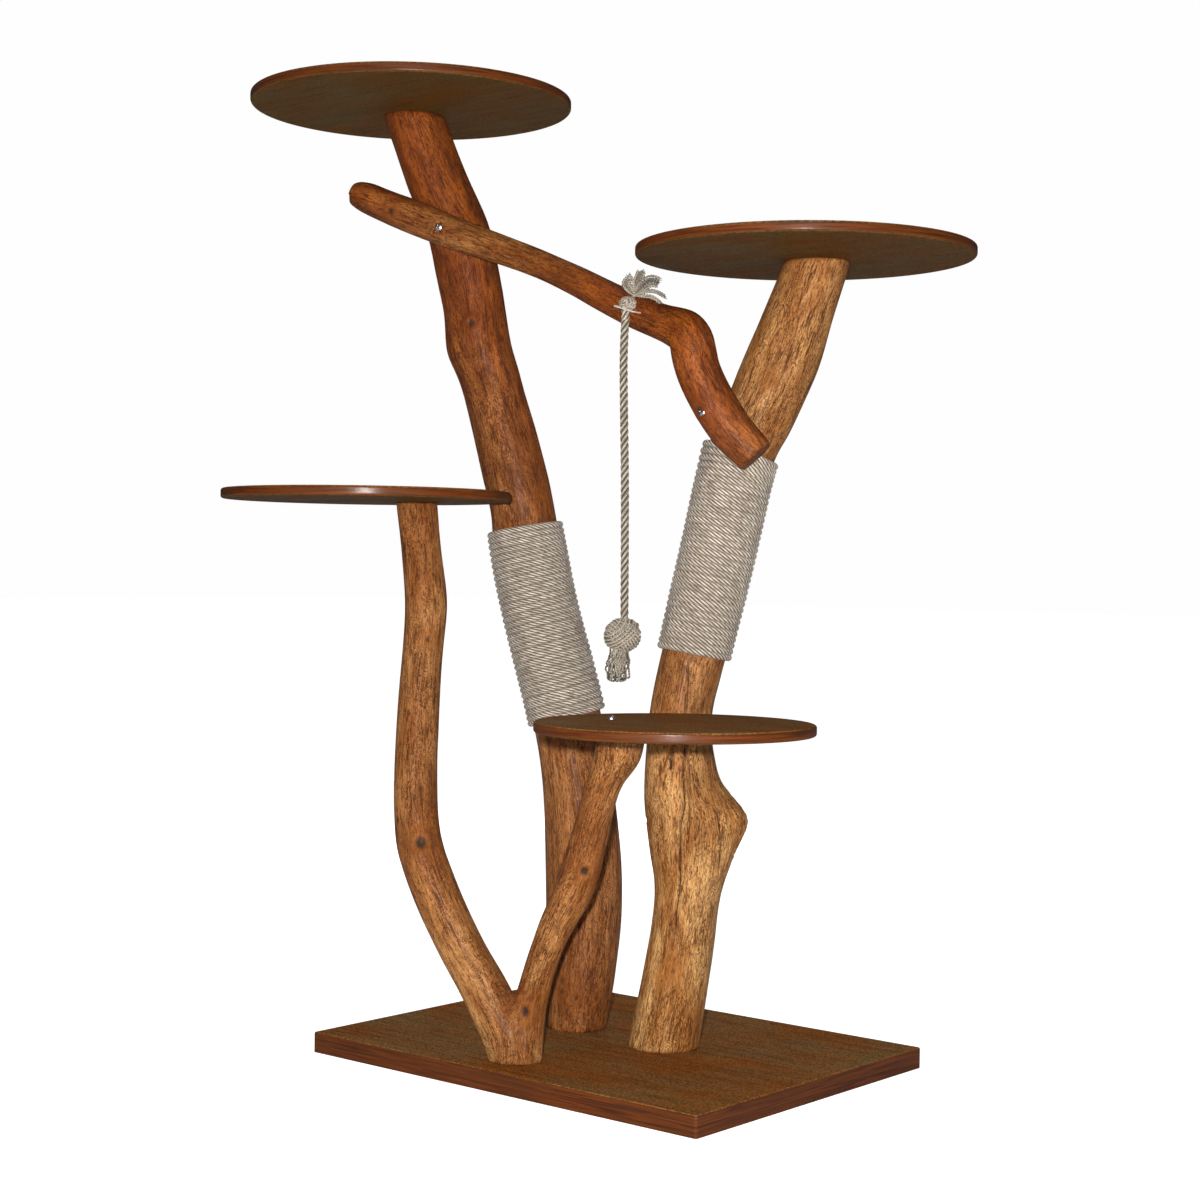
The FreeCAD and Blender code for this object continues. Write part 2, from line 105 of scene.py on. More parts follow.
# the line of the hanging rope, from the top knot to the bottom knot
TOY_ROUTE = [
    (0.0739, -0.087, 0.898), (0.0724, -0.0884, 0.865), (0.0736, -0.0872, 0.79),
    (0.0758, -0.0853, 0.69), (0.0764, -0.0848, 0.5484),
]

# ---- wrapped rope ----
WRAP_ROPE_DIAMETER = 0.0084
WRAP_BUILD = 0.0075
# three strands, each of two plies, show as six
WRAP_STRANDS = 6
WRAP_LAY = 0.04
WRAP_POINTS_PER_TURN = 112
WRAP_START = math.radians(130)

# ---- middle lines of stems, from the left end or the foot ----
CROSS_LINE = [
    (-0.338, -0.136, 1.081), (-0.287, -0.122, 1.059), (-0.195, -0.097, 1.021),
    (-0.07, -0.078, 0.975), (0.034, -0.065, 0.926), (0.113, -0.056, 0.892),
    (0.143, -0.054, 0.879), (0.152, -0.052, 0.842), (0.168, -0.044, 0.804),
    (0.19, -0.032, 0.766), (0.216, -0.019, 0.736),
]
FORK_LEFT_LINE = [
    (-0.013, -0.167, 0.025), (-0.023, -0.173, 0.055), (-0.049, -0.182, 0.105),
    (-0.079, -0.19, 0.15), (-0.11, -0.198, 0.205), (-0.136, -0.202, 0.26),
    (-0.158, -0.193, 0.344), (-0.171, -0.177, 0.43), (-0.187, -0.15, 0.56),
    (-0.217, -0.138, 0.6835),
]
FORK_RIGHT_LINE = [
    (-0.009, -0.164, 0.025), (-0.001, -0.159, 0.084), (0.021, -0.162, 0.141),
    (0.044, -0.164, 0.186), (0.079, -0.165, 0.249), (0.117, -0.177, 0.338),
    (0.146, -0.179, 0.39), (0.154, -0.18, 0.425),
]

# ---- marks on the wood ----
# a knot is a place, a radius and the height of its rim
KNOTS = {
    "tall_post": [
        ((-0.188, -0.075, 0.911), 0.006, 0.0012),
        ((-0.169, -0.055, 0.898), 0.003, 0.0006),
        ((-0.075, -0.014, 0.089), 0.005, 0.001),
        ((-0.075, -0.014, 0.075), 0.004, 0.0008),
        ((-0.057, -0.008, 0.069), 0.0045, 0.0009),
    ],
    "right_post": [
        ((0.107, -0.022, 0.126), 0.0045, 0.0006),
        ((0.093, -0.026, 0.113), 0.0035, 0.0006),
        ((0.21, 0.018, 0.827), 0.004, 0.0006),
    ],
    "fork_post": [
        ((-0.121, -0.22, 0.276), 0.0085, 0.002),
        ((0.102, -0.181, 0.261), 0.007, 0.0016),
        ((0.01, -0.177, 0.087), 0.0075, 0.0014),
        ((-0.16, -0.173, 0.516), 0.005, 0.001),
    ],
    "cross_branch": [
        ((-0.27, -0.138, 1.051), 0.006, 0.0012),
        ((0.168, -0.063, 0.789), 0.007, 0.001),
    ],
}
# a shrinkage crack is a line of places, with its width and depth in the middle
CRACKS = {
    "right_post": [
        ([(0.14, -0.048, 0.424), (0.1392, -0.0474, 0.383), (0.1373, -0.046, 0.356),
          (0.1362, -0.0412, 0.327), (0.13, -0.0412, 0.305), (0.1276, -0.0389, 0.287),
          (0.1247, -0.0354, 0.267), (0.1226, -0.031, 0.246), (0.1195, -0.0283, 0.226),
          (0.1127, -0.0259, 0.193), (0.1091, -0.0236, 0.15)],
         0.0015, 0.004),
        ([(0.1563, -0.0079, 0.322), (0.1556, 0.0035, 0.278), (0.1483, 0.0118, 0.24)], 0.0009, 0.0015),
        ([(0.1437, -0.0467, 0.496), (0.1432, -0.0473, 0.47), (0.1421, -0.0472, 0.436)], 0.001, 0.002),
        ([(0.1262, -0.0579, 0.39), (0.127, -0.0569, 0.378), (0.1275, -0.0554, 0.362)], 0.0008, 0.0015),
    ],
}

# ---- how finely a stem is measured ----
STEM_COLUMNS = 168
STEM_ROW = 0.003
# rays start this far from a stem's middle: outside the stem, or inside its surface
RAY_OUTSIDE = 0.14
RAY_INSIDE = 0.016
END_GAP = 0.0004
# cells of the noise that varies a stem's tone, and how much a saw cut is shaded like a knot
TONE_CELL = (0.09, 0.09, 0.25)
CUT_SHADE = 0.12
FORK_CROTCH = (-0.012, -0.172, 0.1)
FORK_VOXEL = 0.0019


# ---- numbers and shapes ----
def unit(rows):
    return rows / np.linalg.norm(rows, axis=-1, keepdims=True)


def smooth_noise(points, cell, seed):
    """Smooth noise from -1 to 1 at points (n, 3). A cell is one size or three, in metres."""
    size = 32
    table = np.random.default_rng(SEED * 1000 + seed).random((size, size, size))
    places = points.reshape(-1, 3) / np.array(cell)
    low = np.floor(places).astype(int)
    part = places - low
    part = part * part * (3 - 2 * part)
    total = np.zeros(len(places))
    for corner in np.ndindex(2, 2, 2):
        weight = np.prod(np.where(corner, part, 1 - part), axis=1)
        x, y, z = ((low + corner) % size).T
        total += weight * table[x, y, z]
    return (2 * total - 1).reshape(points.shape[:-1])


def travelled(path):
    """How far along a path each of its points is."""
    return np.concatenate([[0], np.cumsum(np.linalg.norm(np.diff(path, axis=0), axis=1))])


def between(places, along, points):
    """Points at places along a path of known points."""
    return np.stack([np.interp(places, along, points[:, k]) for k in range(3)], 1)


def around(first, second, turn):
    """Directions that turn from the first toward the second."""
    return first * np.cos(turn)[..., None] + second * np.sin(turn)[..., None]


def on_line(line, count):
    """Evenly spaced points on a smooth curve through a line's points, and how far along it each one is."""
    line = np.array(line, float)
    reach = travelled(line)
    slopes = np.gradient(line, reach, axis=0)
    distance = np.linspace(0, reach[-1], count)
    i = np.clip(np.searchsorted(reach, distance, side="right") - 1, 0, len(line) - 2)
    span = (reach[i + 1] - reach[i])[:, None]
    t = (distance - reach[i])[:, None] / span
    rise = t * t * (3 - 2 * t)
    places = line[i] + (line[i + 1] - line[i]) * rise
    places += slopes[i] * span * t * (1 - t) ** 2 + slopes[i + 1] * span * t * t * (t - 1)
    return places, distance


def grid_faces(rows, columns):
    """Quads between rings of points that close on themselves."""
    i, j = np.meshgrid(np.arange(rows - 1), np.arange(columns), indexing="ij")
    k = (j + 1) % columns
    quads = np.stack([i * columns + j, i * columns + k, (i + 1) * columns + k, (i + 1) * columns + j], -1)
    return quads.reshape(-1, 4)


def tube_faces(rows, columns):
    """Faces of a tube with flat ends."""
    last = (rows - 1) * columns
    ends = [list(range(columns))[::-1], list(range(last, last + columns))]
    return grid_faces(rows, columns).tolist() + ends


def make_mesh(name, points, faces, **attributes):
    """A smooth-shaded mesh with named values on its points."""
    mesh = bpy.data.meshes.new(name)
    mesh.from_pydata(points.tolist(), [], faces)
    mesh.polygons.foreach_set("use_smooth", np.ones(len(mesh.polygons), bool))
    for key, values in attributes.items():
        values = np.asarray(values, np.float32)
        kind, field = ("FLOAT_VECTOR", "vector") if values.ndim == 2 else ("FLOAT", "value")
        layer = mesh.attributes.new(key, kind, "POINT")
        layer.data.foreach_set(field, values.ravel())
    mesh.update()
    return mesh


def put(name, data):
    """A new object in the scene."""
    thing = bpy.data.objects.new(name, data)
    bpy.context.collection.objects.link(thing)
    return thing


def make_piece(name, shape, body, material, node):
    """A piece that rides on a body, has a material and takes a node's place."""
    points, faces, values = shape
    mesh = make_mesh(name, points, faces, **values)
    mesh.materials.append(material)
    piece = put(name, mesh)
    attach(piece, body)
    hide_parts(node)
    return piece


def evaluated_mesh(piece):
    """A mesh of what an object's curve or modifiers make of it."""
    bpy.context.view_layer.update()
    return bpy.data.meshes.new_from_object(piece.evaluated_get(bpy.context.evaluated_depsgraph_get()))


def joined(parts):
    """Several (points, faces, attributes) as one."""
    points, faces, names = [], [], parts[0][2].keys()
    start = 0
    for part_points, part_faces, _ in parts:
        points.append(part_points)
        faces += [[k + start for k in face] for face in part_faces]
        start += len(part_points)
    values = {name: np.concatenate([part[2][name] for part in parts]) for name in names}
    return np.concatenate(points), faces, values


# ---- materials ----
class Nodes:
    """Short names for building a material's nodes."""

    def __init__(self, name):
        self.material = bpy.data.materials.new(name)
        self.material.use_nodes = True
        self.tree = self.material.node_tree
        self.shader = self.tree.nodes["Principled BSDF"]

    def feed(self, socket, value):
        if isinstance(value, bpy.types.NodeSocket):
            self.tree.links.new(value, socket)
        else:
            socket.default_value = value

    def add(self, kind, inputs=(), **settings):
        node = self.tree.nodes.new(kind)
        for key, value in settings.items():
            setattr(node, key, value)
        for key, value in dict(inputs).items():
            self.feed(node.inputs[key], value)
        return node

    def set(self, **values):
        for key, value in values.items():
            self.feed(self.shader.inputs[key.replace("_", " ")], value)

    def attribute(self, name, output):
        return self.add("ShaderNodeAttribute", attribute_name=name).outputs[output]

    def noise(self, vector, scale, detail=3.0, roughness=0.5, distortion=0.0):
        inputs = {"Vector": vector, "Scale": scale, "Detail": detail}
        inputs.update({"Roughness": roughness, "Distortion": distortion})
        return self.add("ShaderNodeTexNoise", inputs).outputs[0]

    def grain(self, vector, scale, *rest):
        """Noise that a scale for each direction draws out."""
        stretched = self.add("ShaderNodeMapping", {"Vector": vector, "Scale": scale}).outputs[0]
        return self.noise(stretched, 1.0, *rest)

    def ramp(self, value, *stops):
        """Greys at places from 0 to 1."""
        node = self.add("ShaderNodeValToRGB", {0: value})
        band = node.color_ramp
        while len(band.elements) < len(stops):
            band.elements.new(0.5)
        for element, (place, grey) in zip(band.elements, stops):
            element.position = place
            element.color = (grey, grey, grey, 1)
        return node.outputs[0]

    def math(self, operation, a, b=0.0):
        return self.add("ShaderNodeMath", {0: a, 1: b}, operation=operation).outputs[0]

    def times(self, a, b):
        return self.math("MULTIPLY", a, b)

    def mix(self, factor, a, b):
        node = self.add("ShaderNodeMix", data_type="RGBA")
        for k, value in zip((0, 6, 7), (factor, a, b)):
            self.feed(node.inputs[k], (*value, 1) if isinstance(value, tuple) else value)
        return node.outputs[2]

    def bump(self, height, strength, distance):
        inputs = {"Height": height, "Strength": strength, "Distance": distance}
        return self.add("ShaderNodeBump", inputs).outputs[0]


def srgb(red, green, blue):
    """A colour given as it looks on a screen, from 0 to 255."""
    parts = (red / 255, green / 255, blue / 255)
    return tuple(((c + 0.055) / 1.055) ** 2.4 if c > 0.04 else c / 12.92 for c in parts)


def branch_material():
    """Debarked branch under satin lacquer: warm orange brown, streaked and flecked along the grain."""
    m = Nodes("branch_wood")
    straight = m.attribute("straight", "Vector")
    tone = m.attribute("tone", "Fac")
    knot = m.attribute("knot", "Fac")
    crack = m.attribute("crack", "Fac")
    broad = m.grain(straight, (34, 34, 8), 3.0, 0.6)
    patch = m.grain(straight, (75, 75, 24), 3.0, 0.6, 0.6)
    streak = m.grain(straight, (430, 430, 34), 3.0, 0.65, 1.2)
    fleck = m.grain(straight, (820, 820, 190), 2.0, 0.6, 0.9)
    swirl = m.grain(straight, (42, 42, 15), 2.5, 0.5, 0.9)
    swirl_line = m.math("PINGPONG", m.times(swirl, 30.0), 0.5)
    where = m.grain(straight, (17, 17, 7), 1.0)

    pale = m.mix(tone, srgb(223, 172, 108), srgb(160, 83, 25))
    deep = m.mix(tone, srgb(168, 104, 44), srgb(114, 51, 9))
    line = m.mix(tone, srgb(84, 44, 16), srgb(66, 27, 6))
    colour = m.mix(m.ramp(broad, (0.4, 0.0), (0.63, 0.85)), pale, deep)
    colour = m.mix(m.ramp(patch, (0.42, 0.0), (0.66, 0.6)), colour, deep)
    lines = m.ramp(swirl_line, (0.0, 0.95), (0.17, 0.0))
    lines = m.times(lines, m.ramp(where, (0.42, 0.1), (0.56, 1.0)))
    streaks = m.ramp(streak, (0.49, 0.0), (0.58, 0.92))
    streaks = m.times(streaks, m.ramp(patch, (0.34, 0.3), (0.6, 1.0)))
    flecks = m.ramp(fleck, (0.51, 0.0), (0.63, 0.78))
    colour = m.mix(streaks, colour, line)
    colour = m.mix(lines, colour, line)
    colour = m.mix(flecks, colour, line)
    colour = m.mix(m.ramp(knot, (0.0, 0.0), (0.25, 0.6)), colour, deep)
    # streaks make a knot's edge ragged
    ragged = m.math("ADD", knot, m.times(m.math("SUBTRACT", streak, 0.5), 0.5))
    ragged = m.times(ragged, m.ramp(knot, (0.25, 0.0), (0.4, 1.0)))
    colour = m.mix(m.ramp(ragged, (0.3, 0.0), (0.85, 0.92)), colour, srgb(50, 38, 29))
    colour = m.mix(crack, colour, srgb(18, 8, 3))

    height = m.math("SUBTRACT", m.times(patch, 0.7), m.times(flecks, 0.5))
    height = m.math("SUBTRACT", height, m.times(m.math("ADD", lines, streaks), 0.4))
    m.set(
        Base_Color=colour,
        Roughness=m.ramp(streak, (0.3, 0.48), (0.8, 0.62)),
        Specular_IOR_Level=0.18,
        Normal=m.bump(height, 0.8, 0.0009),
        Coat_Weight=0.05,
        Coat_Roughness=0.35,
    )
    return m.material


def board_material():
    """Dark stained board: brown-grey faces and redder rims, with grain along the board, and painted shade on
    the undersides.
    """
    m = Nodes("stained_board")
    place = m.add("ShaderNodeTexCoord").outputs["Object"]
    normal = m.add("ShaderNodeNewGeometry").outputs["Normal"]
    up = m.add("ShaderNodeSeparateXYZ", {0: normal}).outputs[2]
    flat = m.ramp(m.math("ABSOLUTE", up), (0.45, 0.0), (0.8, 1.0))
    painted_underside_shade = m.math("LESS_THAN", up, -0.5)
    face_grain = m.grain(place, (9, 130, 130), 5.0, 0.65, 0.8)
    cloud = m.grain(place, (9, 16, 16), 3.0)
    speck = m.noise(place, 430.0, 2.0, 0.6)
    rim_grain = m.grain(place, (12, 12, 460), 4.0, 0.65, 0.5)

    face = m.mix(m.ramp(cloud, (0.35, 0.0), (0.68, 1.0)), srgb(153, 115, 69), srgb(167, 99, 43))
    face = m.mix(m.ramp(face_grain, (0.46, 0.0), (0.72, 0.6)), face, srgb(54, 36, 16))
    # painted shade: the undersides are drawn darker
    face = m.mix(m.times(painted_underside_shade, 0.62), face, srgb(42, 37, 8))
    face = m.mix(m.ramp(speck, (0.46, 0.0), (0.56, 0.66)), face, srgb(48, 34, 12))
    rim = m.mix(m.ramp(rim_grain, (0.38, 0.0), (0.62, 1.0)), srgb(108, 52, 12), srgb(64, 28, 5))
    rim = m.mix(m.ramp(cloud, (0.4, 0.0), (0.7, 0.5)), rim, srgb(84, 44, 14))
    height = m.math("ADD", m.times(face_grain, 0.6), m.times(speck, 0.35))
    bump = m.bump(m.math("ADD", height, m.times(rim_grain, 0.4)), 0.35, 0.0006)
    m.set(
        Base_Color=m.mix(flat, rim, face),
        Roughness=m.ramp(cloud, (0.3, 0.56), (0.8, 0.66)),
        Specular_IOR_Level=m.ramp(flat, (0.0, 0.15), (1.0, 0.04)),
        Normal=bump,
        Coat_Weight=m.ramp(flat, (0.0, 0.22), (1.0, 0.0)),
        Coat_Roughness=0.24,
        Coat_Normal=bump,
    )
    return m.material


def rope_material(name, light, dark):
    """Twisted natural fibre: pale on the strands with painted shade in the grooves, and yarns along each
    strand.
    """
    m = Nodes(name)
    fibre = m.attribute("fibre", "Vector")
    groove = m.attribute("groove", "Fac")
    yarn = m.grain(fibre, (95, 850, 40), 2.0, 0.6, 0.3)
    thread = m.grain(fibre, (300, 2600, 40), 3.0, 0.6, 0.5)
    patch = m.grain(fibre, (30, 100, 40), 3.0)
    colour = m.mix(m.ramp(patch, (0.35, 0.0), (0.7, 1.0)), srgb(*light), srgb(*[0.86 * c for c in light]))
    colour = m.mix(m.ramp(yarn, (0.44, 0.0), (0.62, 0.75)), colour, srgb(*dark))
    colour = m.mix(m.ramp(thread, (0.45, 0.0), (0.75, 0.6)), colour, srgb(*dark))
    # painted shade: the groove value darkens the rope between its strands, yarns and turns
    colour = m.mix(m.ramp(groove, (0.2, 0.0), (0.9, 0.95)), colour, srgb(*[0.5 * c for c in dark]))
    m.set(
        Base_Color=colour,
        Roughness=0.62,
        Specular_IOR_Level=0.45,
        Normal=m.bump(m.math("ADD", yarn, m.times(thread, 0.5)), 0.7, 0.0009),
        Sheen_Weight=0.15,
        Sheen_Roughness=0.5,
    )
    return m.material


def steel_material(name, colour, roughness, metallic=1.0):
    """Zinc-plated steel with fine scuffs. A lower metallic value stands for a dull coat."""
    m = Nodes(name)
    place = m.add("ShaderNodeTexCoord").outputs["Object"]
    scuff = m.noise(place, 900.0, 3.0, 0.6)
    worn = srgb(*[0.8 * c for c in colour])
    m.set(
        Base_Color=m.mix(m.ramp(scuff, (0.4, 0.0), (0.8, 1.0)), srgb(*colour), worn),
        Metallic=metallic,
        Roughness=m.ramp(scuff, (0.3, roughness), (0.8, roughness + 0.15)),
        Normal=m.bump(scuff, 0.15, 0.0002),
    )
    return m.material


BRANCH = branch_material()
BOARD = board_material()
WRAP_ROPE = rope_material("post_rope", (246, 232, 213), (128, 105, 80))
TOY_ROPE = rope_material("toy_rope", (216, 202, 180), (108, 92, 72))
STEEL = steel_material("steel", (205, 205, 208), 0.22)
WIRE = steel_material("staple_wire", (240, 240, 238), 0.35, 0.35)


# ---- camera and light ----
def make_camera():
    forward = LOOK_ACROSS * math.cos(LOOK_DOWN) - UP * math.sin(LOOK_DOWN)
    level = Vector((LOOK_ACROSS.y, -LOOK_ACROSS.x, 0))
    rise = level.cross(forward)
    right = level * math.cos(ROLL) + rise * math.sin(ROLL)
    up = rise * math.cos(ROLL) - level * math.sin(ROLL)
    data = bpy.data.cameras.new("camera")
    data.lens = LENS
    data.sensor_width = SENSOR
    camera = put("camera", data)
    turn = Matrix((right, up, -forward)).transposed().to_4x4()
    camera.matrix_world = Matrix.Translation(EYE) @ turn
    bpy.context.scene.camera = camera


def area_light(name, place, size, power):
    """A round lamp that faces the middle of the scene."""
    data = bpy.data.lights.new(name, "AREA")
    data.shape = "DISK"
    data.size = size
    data.energy = power
    light = put(name, data)
    turn = (SCENE_MIDDLE - place).to_track_quat("-Z", "Y").to_matrix().to_4x4()
    light.matrix_world = Matrix.Translation(place) @ turn
    light.visible_camera = False
    return light


def make_studio():
    area_light("key", EYE + KEY_FROM_EYE, KEY_SIZE, KEY_POWER)
    behind = SCENE_MIDDLE + LOOK_ACROSS * FILL_DISTANCE + UP * FILL_RISE
    fill = area_light("back_fill", behind, FILL_SIZE, FILL_POWER)
    fill.visible_glossy = False
    sky = bpy.data.lights.new("sky", "SUN")
    sky.angle = SKY_SPREAD
    sky.energy = SKY_STRENGTH
    put("sky", sky)
    world = bpy.data.worlds.new("studio")
    world.use_nodes = True
    tree = world.node_tree
    backdrop = tree.nodes["Background"]
    backdrop.inputs["Color"].default_value = (1, 1, 1, 1)
    seen = tree.nodes.new("ShaderNodeLightPath").outputs["Is Camera Ray"]
    strength = tree.nodes.new("ShaderNodeMix")
    strength.inputs["A"].default_value = WORLD_LIGHT
    strength.inputs["B"].default_value = WORLD_SEEN
    tree.links.new(seen, strength.inputs["Factor"])
    tree.links.new(strength.outputs[0], backdrop.inputs["Strength"])
    bpy.context.scene.world = world
    bpy.context.scene.view_settings.view_transform = "Standard"


def make_floor():
    mesh = bpy.data.meshes.new("floor")
    corners = [(x * FLOOR_HALF, y * FLOOR_HALF, 0) for x, y in ((-1, -1), (1, -1), (1, 1), (-1, 1))]
    mesh.from_pydata(corners, [], [(0, 1, 2, 3)])
    m = Nodes("pale_floor")
    place = m.add("ShaderNodeTexCoord").outputs["Object"]
    cloud = m.noise(place, 0.7, 3.0)
    seen = m.add("ShaderNodeLightPath").outputs["Is Camera Ray"]
    m.set(Base_Color=m.ramp(cloud, (0.3, 0.74), (0.7, 0.77)), Roughness=0.95, Specular_IOR_Level=0.1)
    m.set(Emission_Color=(1, 1, 1, 1), Emission_Strength=m.times(seen, FLOOR_GLOW))
    mesh.materials.append(m.material)
    put("floor", mesh)


# ---- rope ----
def travel_frames(path):
    """Two directions square to a path at each of its points, carried along it without twisting."""
    tangents = unit(np.gradient(path, axis=0))
    side = np.cross(tangents[0], [0, 0, 1])
    if np.linalg.norm(side) < 0.1:
        side = np.cross(tangents[0], [0, 1, 0])
    sides = []
    for along in tangents:
        side = side - along * side.dot(along)
        side = side / np.linalg.norm(side)
        sides.append(side)
    sides = np.array(sides)
    return sides, np.cross(tangents, sides)


def laid_rope(path, radius, strands, lay, detail=7, full=1.15):
    """A rope of strands that turn once in each lay length: its points, its faces and the values on them.
    The fuller its strands are, the shallower are the grooves between them."""
    path = np.asarray(path, float)
    first, second = travel_frames(path)
    along = travelled(path)
    share = math.sin(math.pi / strands)
    strand = radius * share / (1 + share) * full
    offset = radius - strand
    columns = strands * detail
    angle = TAU * np.arange(columns) / columns
    lean = (angle + math.pi / strands) % (TAU / strands) - math.pi / strands
    reach = offset * np.cos(lean) + np.sqrt(np.maximum(strand**2 - (offset * np.sin(lean)) ** 2, 0))
    turn = angle[None, :] + (TAU * along / lay)[:, None]
    spokes = around(first[:, None], second[:, None], turn)
    points = path[:, None] + spokes * reach[None, :, None]
    # painted shade: how deep each point lies between the strands, for the rope's material to darken
    groove = np.broadcast_to((radius - reach) / (radius - reach.min()), turn.shape)
    fibre = np.stack(np.broadcast_arrays(along[:, None], (lean * radius)[None, :], turn * 0 + 1.0), -1)
    values = {"groove": groove.ravel(), "fibre": fibre.reshape(-1, 3)}
    return points.reshape(-1, 3), tube_faces(len(path), columns), values


def curve_points(points, count):
    """Points on the NURBS line that a route guides."""
    curve = bpy.data.curves.new("route", "CURVE")
    curve.dimensions = "3D"
    curve.resolution_u = count
    spline = curve.splines.new("NURBS")
    spline.points.add(len(points) - 1)
    for point, place in zip(spline.points, points):
        point.co = (*place, 1)
    spline.order_u = 3
    spline.use_endpoint_u = True
    holder = put("route", curve)
    mesh = evaluated_mesh(holder)
    line = np.array([v.co for v in mesh.vertices], float)
    bpy.data.objects.remove(holder)
    bpy.data.curves.remove(curve)
    bpy.data.meshes.remove(mesh)
    return line


def even_line(points, step):
    """The same line with its points a step apart."""
    along = travelled(points)
    count = max(4, round(along[-1] / step))
    places = np.linspace(0, along[-1], count + 1)
    return between(places, along, points)


def toy_rope(path, share=1.0):
    """A stretch of the toy's rope, its diameter a share of the real one."""
    return laid_rope(path, TOY_ROPE_DIAMETER / 2 * share, TOY_STRANDS, TOY_LAY)


def toy_piece(name, shape, body, node):
    return make_piece(name, shape, body, TOY_ROPE, node)


def make_toy():
    route = curve_points(TOY_ROUTE, 24)
    shape = toy_rope(even_line(route, ROPE_STEP))
    # the hanging rope is drawn darker than its knots: the painted shade of its grooves is raised all along
    # it
    shape[2]["groove"] = np.minimum(shape[2]["groove"] + 0.22, 1)
    rope = toy_piece("hanging_rope", shape, "toy", "toy_rope")

    top = Vector(TOY_ROUTE[0])
    neck_line = even_line(np.array([top - UP * 0.002, top + UP * 0.01]), ROPE_STEP)
    neck = toy_piece("rope_neck", toy_rope(neck_line, 0.98), "toy_neck", "toy_rope_neck")

    knot = make_bottom_knot()
    tassel = make_bottom_tassel()
    make_top_knot()
    make_top_tassel()


def yarn(path, radius, lay, outward):
    """One yarn of a knot or tassel: pale where it faces outward, with painted shade where it turns toward
    its neighbours.
    """
    points, faces, values = laid_rope(path, radius, 2, lay, 5, 1.2)
    spokes = unit(points.reshape(len(path), -1, 3) - path[:, None])
    outward = unit(np.asarray(outward, float) + np.zeros_like(path))
    facing = (spokes * outward[:, None]).sum(-1)
    values["groove"] = np.clip(1.15 * (1 - facing), 0, 1).ravel()
    return points, faces, values


def painted_shade_core(middle, radii, seed):
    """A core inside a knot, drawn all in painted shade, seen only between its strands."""
    rows, columns = 14, 24
    tilt = np.linspace(0.12, math.pi - 0.12, rows)
    turn = TAU * np.arange(columns) / columns
    ring = np.sin(tilt)[:, None]
    way = np.stack([ring * np.cos(turn), -ring * np.sin(turn), np.cos(tilt)[:, None] + turn * 0], -1)
    size = 1 + 0.05 * smooth_noise(way, 0.4, seed)
    points = (np.array(middle) + way * np.array(radii) * size[..., None]).reshape(-1, 3)
    values = {"groove": np.full(len(points), 1.0), "fibre": points * [1, 1, 0]}
    return points, tube_faces(rows, columns), values


def knot_band(middle, radii, axis, offsets, strand, ply_lay, sway, seed):
    """Strands side by side round a knot, each at its own offset along the axis, in radii."""
    axis = unit(np.array(axis, float))
    first = unit(np.cross(axis, [0.1, 0.2, 1.0]))
    second = np.cross(axis, first)
    middle = np.array(middle)
    parts = []
    for k, offset in enumerate(offsets):
        ring = math.sqrt(max(1 - offset * offset, 0.02))
        way = axis * offset + around(first, second, np.linspace(0, TAU, 72)) * ring
        bend = smooth_noise(way * 2.0 + k * 0.35 + seed, 1.0, seed)[:, None]
        path = middle + way * np.array(radii) * (1 + sway * bend)
        parts.append(yarn(path, strand, ply_lay, path - middle))
    return parts


def make_bottom_knot():
    low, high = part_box("toy_bottom_knot")
    middle = (low + high) / 2 + ACROSS * 0.0006 + UP * 0.0004
    size = (high.z - low.z) / 2
    strand = 0.00185
    parts = [painted_shade_core(middle, [size * 0.8, size * 0.8, size * 0.76], 61)]
    layers = [
        (size * 0.82, ACROSS * 0.25 + UP, np.linspace(-0.85, 0.75, 10)),
        (size * 0.87, ACROSS + UP * 0.75 - TOWARD * 0.15, np.linspace(-0.7, 0.9, 10)),
        (size * 0.92, ACROSS * 0.9 - UP - TOWARD * 0.45, np.linspace(-0.86, 0.05, 6)),
    ]
    for k, (radius, axis, offsets) in enumerate(layers):
        radii = [radius, radius, radius * 0.94]
        parts += knot_band(middle, radii, axis, offsets, strand, 0.0085, 0.055, 62 + k)
    # the rope runs on into the knot
    entry = Vector(TOY_ROUTE[-1])
    inside = even_line(np.array([entry + UP * 0.0015, entry - UP * 0.0085]), ROPE_STEP)
    parts.append(toy_rope(inside, 0.97))
    return toy_piece("bottom_knot", joined(parts), "toy", "toy_bottom_knot")


def loop_guide(middle, low, high, k, rng):
    """The line that guides one loop of the lower tassel: down, round the foot and up again."""
    angle = TAU * k * TASSEL_TURN + rng.uniform(-0.2, 0.2)
    spread = (high.x - low.x) / 2 - 0.0042
    ring = spread * math.sqrt((k + 1.5) / (TASSEL_LOOPS + 1.5))
    out = Vector((math.cos(angle), math.sin(angle), 0))
    side = Vector((-out.y, out.x, 0)) if k % 2 else out
    bottom = low.z + TASSEL_PLY + rng.uniform(0, 0.006)
    gap = rng.uniform(0.0012, 0.0028)
    top = Vector((middle.x, middle.y, high.z + 0.007)) + out * ring * 0.72 + ACROSS * 0.003
    waist = Vector((middle.x, middle.y, low.z * 0.45 + high.z * 0.55)) + out * ring
    foot = Vector((middle.x, middle.y, bottom)) + out * ring
    steps = ((top, 0.4, 0), (waist, 1, 0), (foot, 1.2, 0.005), (foot, 0.6, 0))
    down = [place - side * gap * share + UP * rise for place, share, rise in steps]
    up = [place + side * gap * share + UP * rise for place, share, rise in steps]
    return down + up[::-1]


